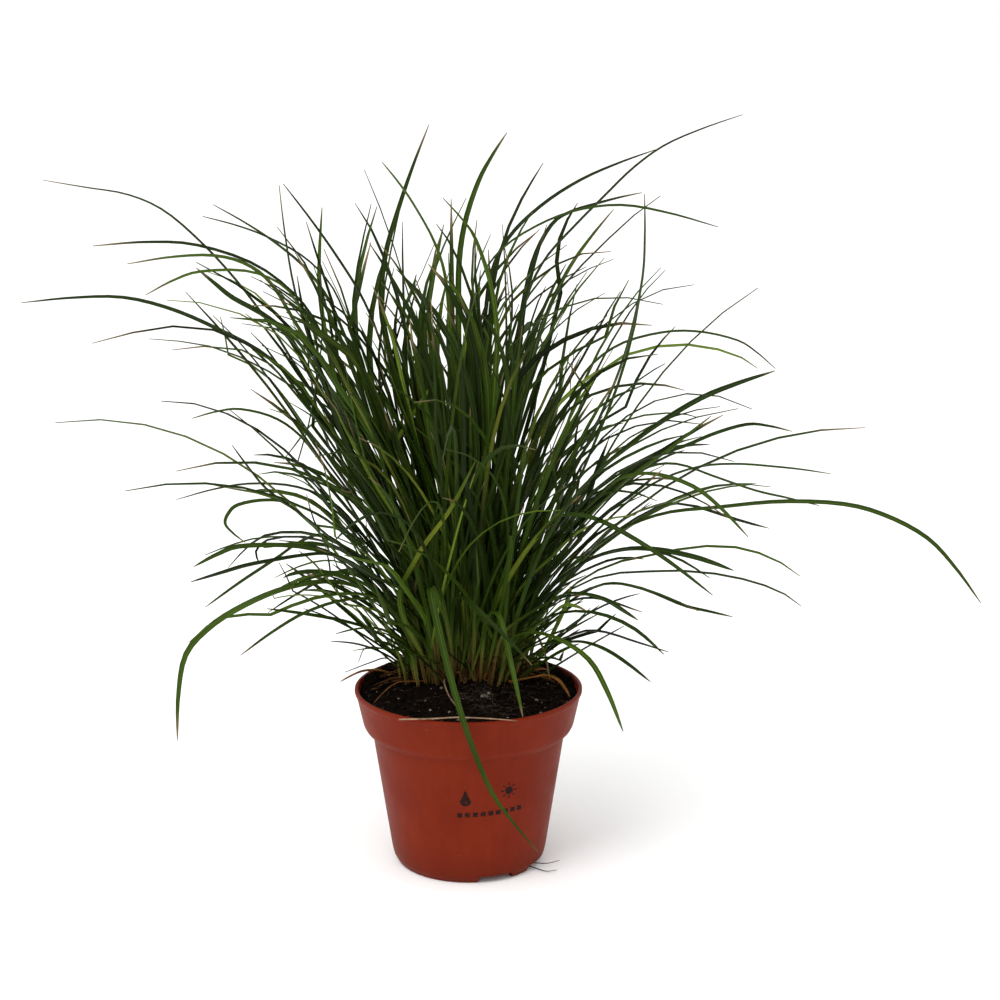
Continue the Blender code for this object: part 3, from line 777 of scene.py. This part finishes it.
def shorter_path(draw, points, partner, tuft, stations):
    """A shorter leaf's path: between two long leaves, turned, leaned and swayed a little.

    It follows only the first part of their curve, so that it droops less than they do.
    """
    _, least, turning, leaning = tuft
    follow = draw.uniform(least, 1.0)
    scale = draw.uniform(0.78, 0.98)
    blend = draw.uniform(0.0, 0.6)
    turn = Quaternion((0.0, 0.0, 1.0), math.radians(draw.gauss(0.0, turning)))
    heading = draw.uniform(0.0, math.tau)
    lean = Quaternion((math.cos(heading), math.sin(heading), 0.0),
                      math.radians(draw.gauss(0.0, leaning)))
    level = level_across(points)
    sway = draw.gauss(0.0, 0.035) * (points[-1] - points[0]).length * follow
    waves = draw.uniform(0.6, 1.6)
    start = rooted_at(points[0].x + draw.gauss(0.0, 2.4), points[0].y + draw.gauss(0.0, 1.8))
    path = []
    for step in range(stations + 1):
        t = step / stations
        offset = curve_point(points, t * follow).lerp(curve_point(partner, t * follow), blend)
        offset -= points[0].lerp(partner[0], blend)
        offset.rotate(turn)
        offset.rotate(lean)
        path.append(start + offset * scale + level * (sway * t * math.sin(waves * math.pi * t)))
    return path


def clear_of_pot(path):
    """Whether a leaf, past its first third, stays off the soil, the rim and the wall."""
    for point in path[len(path) // 3:]:
        near_rim = point.xy.length > rim_radius - 10.0
        least_height = rim_height + 3.0 if near_rim else rim_height - 1.0
        if point.xy.length <= rim_radius + 4.0 and point.z <= least_height:
            return False
    return True


def kinked(draw, path):
    """Some leaves have been bent sharply: the part past the kink hangs down."""
    if draw.random() > KINKED_SHARE:
        return path
    at = round(len(path) * draw.uniform(0.55, 0.85))
    bend = Quaternion(level_across(path), math.radians(draw.uniform(25.0, 75.0)))
    return path[:at] + [path[at] + bend @ (point - path[at]) for point in path[at:]]


draw = random.Random(11)
for name, (points, width) in spines.items():
    tuft = BESIDE_A_LONE_LEAF if name in LONE_LEAVES else TUFTS[name.rsplit("_", 1)[0]]
    shape = blade_shape()
    stations = max(24, round(len(points) * 3.2))
    rooted = [points[0] - Vector((0.0, 0.0, ROOT_DEPTH))] + points[1:]
    path = smooth_path(rooted, stations)
    tone = draw.uniform(0.15, 0.75)
    traits = {"tone": tone, "dryness": draw.choice((0.0, 0.02, 0.05)), "yellowing": 0.0}
    towards_front = math.copysign(FACE_TURN, path[-1].x - path[0].x)
    add_blade(shape, path, level_across(path), width, 6, traits,
              twist=draw.gauss(towards_front, 0.25), taper=2.2 if name == "leaf_front_01" else 6.0)
    nearby = neighbours_of(name, 3)
    for _ in range(tuft[0]):
        path = kinked(draw, shorter_path(draw, points, spines[draw.choice(nearby)][0], tuft, 14))
        if clear_of_pot(path):
            add_blade(shape, path, level_across(path), draw.uniform(1.6, 3.6), 2,
                      leaf_traits(draw), twist=draw.gauss(0.0, 0.8), taper=draw.uniform(3.0, 9.0))
    add_piece(name.replace("leaf_", "tuft_"), shape, green_blade, "living_leaf", name, sharp=60.0)


def arching_path(draw, heading, length, start_lean, bend, stations):
    """A leaf that leans from the crown towards a heading and bends over with its weight."""
    end_lean = start_lean + bend * length / 310.0
    power = draw.uniform(1.2, 2.6)
    drift = math.radians(draw.gauss(0.0, 24.0))
    around = heading + draw.gauss(0.0, 1.3)
    reach = math.sqrt(draw.random())
    place = rooted_at(CROWN_X + CROWN_HALF_WIDTH * reach * math.cos(around),
                      CROWN_Y + CROWN_HALF_DEPTH * reach * math.sin(around))
    path = [place]
    for step in range(stations):
        t = (step + 0.5) / stations
        lean = start_lean + (end_lean - start_lean) * t ** power
        side = heading + drift * t
        path.append(path[-1] + length / stations * Vector((math.sin(lean) * math.cos(side),
                                                           math.sin(lean) * math.sin(side),
                                                           math.cos(lean))))
    return path


# Shorter growth: how many leaves, and the range of headings, lengths in mm, leans at the
# crown and further bends, in degrees, that they are drawn from.
GROWTH = {
    "growth_front": (92, (-150.0, -30.0), (110.0, 285.0), (2.0, 30.0), (10.0, 110.0)),
    "growth_back": (48, (40.0, 140.0), (150.0, 290.0), (2.0, 24.0), (15.0, 95.0)),
    "growth_low_left": (30, (150.0, 222.0), (40.0, 105.0), (20.0, 60.0), (40.0, 150.0)),
    "growth_low_right": (30, (-42.0, 30.0), (40.0, 100.0), (20.0, 60.0), (40.0, 150.0)),
}
draw = random.Random(17)
for name, (leaves, headings, lengths, leans, bends) in GROWTH.items():
    shape = blade_shape()
    for _ in range(leaves):
        path = arching_path(draw, math.radians(draw.uniform(*headings)), draw.uniform(*lengths),
                            math.radians(draw.uniform(*leans)), math.radians(draw.uniform(*bends)),
                            12)
        path = kinked(draw, path)
        if clear_of_pot(path):
            add_blade(shape, path, level_across(path), draw.uniform(1.1, 2.8), 2,
                      leaf_traits(draw), twist=draw.gauss(0.0, 0.9), taper=draw.uniform(2.5, 8.0))
    add_piece(name, shape, green_blade, "living_leaf", sharp=60.0)

# Four leaves that show in front of the others, by their width, yellowing, dryness and
# route: the first has yellowed, and the last two have long dead tips.
FRONT_LEAVES = (
    (3.0, 0.8, 0.0, ((-16, 10, 92), (-35, -8, 140), (-25, -34, 174), (-8, -55, 203),
                     (5, -65, 230))),
    (2.6, 0.0, 0.05, ((6, 10, 92), (9, -4, 130), (16, -29, 142), (23, -46, 118), (28, -56, 97))),
    (2.2, 0.1, 0.30, ((-33, 16, 90), (-33, 13, 112), (-30, 5, 134), (-25, -4, 164))),
    (1.2, 0.5, 0.5, ((30, 18, 92), (35, 13, 118), (40, 6, 112), (43, 3, 98))),
)
shape = blade_shape()
for width, yellowing, dryness, route in FRONT_LEAVES:
    path = smooth_path(route, 30)
    traits = {"tone": 0.7, "dryness": dryness, "yellowing": yellowing}
    add_blade(shape, path, level_across(path), width, 6, traits, twist=0.3, taper=5.0)
add_piece("front_leaves", shape, green_blade, "living_leaf", sharp=60.0)


# ----------------------------------------------------------------------
# Dead leaves. Old blades dried to orange tan and straw. A few lie loose on the soil and
# over the rim, and stubs and shreds of old sheath stand round the crown.
# ----------------------------------------------------------------------
# Dry sedge leaf: papery, with no wax left, orange brown with darker and greyer stretches.
WEATHERED_SPOT = 8.0
DRY_RIBS = 6.0
dry_blade, tree, shader = new_material("dry_sedge_leaf", 0.8, 1.42, 0.2)
uv = node(tree, "UVMap", uv_map="blade").outputs["UV"]
split = node(tree, "SeparateXYZ", {"Vector": uv})
place = node(tree, "TexCoord").outputs["Object"]
weather = node(tree, "TexNoise", {"Vector": place, "Scale": 1.0 / (WEATHERED_SPOT * MM),
                                  "Detail": 4.0})
tone = node(tree, "Attribute", attribute_name="tone").outputs["Fac"]
straws = node(tree, "ValToRGB", {"Fac": tone},
              stops=[(0.0, "#2c1a0f"), (0.4, "#5c3a1d"), (0.7, "#96622a"), (1.0, "#a98a5c")])
weather_tone = node(tree, "MapRange", {"Value": weather.outputs["Fac"], "From Min": 0.3,
                                       "From Max": 0.7, "To Min": 0.6, "To Max": 1.2})
weathered = node(tree, "Mix", {6: straws.outputs["Color"], 7: weather_tone.outputs["Result"],
                               0: 1.0}, data_type="RGBA", blend_type="MULTIPLY")
tree.links.new(weathered.outputs[2], shader.inputs["Base Color"])
rib_phase = node(tree, "Math", {0: split.outputs["X"], 1: DRY_RIBS * math.tau},
                 operation="MULTIPLY")
ribs = node(tree, "Math", {0: rib_phase.outputs[0]}, operation="SINE")
rib_bump = node(tree, "Bump", {"Height": ribs.outputs[0], "Strength": 0.5, "Distance": 0.00015})
tree.links.new(rib_bump.outputs["Normal"], shader.inputs["Normal"])

# Three lie on the soil from the crown outwards. Two have curled up along their length.
for name, tone_value, uncurled, crown_end in (("dry_leaf_rim", 0.75, 1.0, (-37, 27, 92)),
                                              ("dry_leaf_right", 0.66, 0.6, (21, 8, 95)),
                                              ("dry_leaf_left", 0.5, 0.4, (-22, 9, 95))):
    points, width = spine_of(name)
    shape = blade_shape()
    path = smooth_path([crown_end] + points[len(points) // 4:], 28)
    add_blade(shape, path, level_across(path), width * uncurled, 6, {"tone": tone_value},
              twist=0.8)
    add_piece(name + "_blade", shape, dry_blade, "dead_leaf", name, sharp=60.0)

# Old sheaths: short brown shreds that stand between the leaves at the crown.
OLD_SHEATHS = 110
draw = random.Random(23)
shape = blade_shape()
for _ in range(OLD_SHEATHS):
    around = draw.uniform(0.0, math.tau)
    reach = math.sqrt(draw.uniform(0.1, 0.95))
    outward = Vector((math.cos(around), math.sin(around), 0.0))
    x = CROWN_X + (CROWN_HALF_WIDTH + 1.0) * reach * outward.x
    y = CROWN_Y + (CROWN_HALF_DEPTH + 1.0) * reach * outward.y
    height = draw.uniform(5.0, 24.0)
    lean = draw.uniform(0.1, 1.0)
    base = Vector((x, y, soil_surface(x, y) - 2.0))
    path = [base + Vector((0.0, 0.0, height * (t - 0.3 * lean * t * t)))
            + outward * (height * lean * t * t) for t in (step / 8 for step in range(9))]
    traits = {"tone": 0.85 * draw.random() ** 1.3}
    add_blade(shape, path, level_across(path), draw.uniform(0.6, 1.9), 2, traits,
              twist=draw.gauss(0.0, 0.8), thickness=0.2)
add_piece("old_sheaths", shape, dry_blade, "dead_leaf", sharp=60.0)

# Litter: spent leaves that have sunk on to the soil beside and behind the crown, and two
# dark withered ones that stand off the rim at its left.
SPENT_LEAVES = 46
LITTER_STEP = 2.4
shape = blade_shape()
for _ in range(SPENT_LEAVES):
    around = math.radians(draw.choice((draw.uniform(-8.0, 70.0), draw.uniform(110.0, 195.0))))
    outward = Vector((math.cos(around), math.sin(around), 0.0))
    x = CROWN_X + CROWN_HALF_WIDTH * 0.75 * outward.x
    y = CROWN_Y + CROWN_HALF_DEPTH * 0.75 * outward.y
    heading = around + draw.gauss(0.0, 0.25)
    hump = draw.uniform(1.0, 5.0)
    path = []
    for step in range(15):
        t = step / 14
        lift = 0.8 + hump * math.sin(math.pi * min(1.0, 0.15 + t))
        path.append(Vector((x, y, soil_surface(x, y) + lift)))
        heading += draw.gauss(0.0, 0.05)
        x += LITTER_STEP * math.cos(heading)
        y += LITTER_STEP * math.sin(heading)
        if math.hypot(x, y) > soil_radius - 3.0:
            break
    if len(path) > 6:
        traits = {"tone": 0.85 * draw.random() ** 1.7}
        add_blade(shape, path, level_across(path), draw.uniform(0.9, 2.2), 2, traits,
                  twist=draw.gauss(0.0, 0.6), thickness=0.25)
for width, route in ((1.0, ((-36, 24, 96), (-44, 23, 103), (-53, 20, 101.5), (-66, 9, 99.5))),
                     (0.7, ((-34, 20, 98), (-44, 21, 108), (-55, 16, 111), (-59, 13, 104)))):
    path = smooth_path(route, 16)
    add_blade(shape, path, level_across(path), width, 2, {"tone": 0.05})
add_piece("leaf_litter", shape, dry_blade, "dead_leaf", sharp=60.0)

# Straws: two bleached leaf ribs, one over the front of the rim and one beside the crown.
BLEACHED_SPOT = 4.5
straw_rib = speckled_material("bleached_leaf_rib", 0.75, 1.42, 0.15, BLEACHED_SPOT, 3.0,
                              [(0.3, "#6d4f3c"), (0.6, "#93785f"), (0.8, "#a89580")])
shape = bmesh.new()
for thickness, route in ((0.9, ((-34, -53, 94.5), (-18, -58, 96.6), (-3, -60, 98), (17, -59, 96.6),
                                (28, -52, 93))),
                         (1.1, ((-12, 12, 95), (-13, 4, 95.5), (-10, -10, 92.5), (-5, -26, 91)))):
    root_tube(shape, smooth_path(route, 24), thickness, 8, 0.4)
add_piece("straws", shape, straw_rib, "dead_leaf", sharp=60.0)


# ----------------------------------------------------------------------
# Roots at the foot. Two dark, wiry roots have grown out of a drainage notch, and have dried
# where they met the air.
# ----------------------------------------------------------------------
# Dried root: a wrinkled dull brown skin, paler where it has flaked.
ROOT_FLAKE = 3.3
root_skin = speckled_material("dried_root", 0.85, 1.4, 0.2, ROOT_FLAKE, 3.0,
                              [(0.3, "#1d140d"), (0.6, "#3a2a1b"), (0.8, "#6b543a")])

for name, route in (("trailing_root_upper", [(30.5, -14.5, 1.6), (36.5, -15.5, 1.4), (42, -18, 2.4),
                                             (48, -19.5, 4.6)]),
                    ("trailing_root_lower", [(30, -18, 1.3), (35.5, -21, 0.9), (41, -25, 0.9),
                                             (46.5, -25.5, 1.8)])):
    shape = bmesh.new()
    root_tube(shape, smooth_path(route, 20), 0.7, 8)
    add_piece(name + "_fibre", shape, root_skin, "root_fibre", name, sharp=60.0)
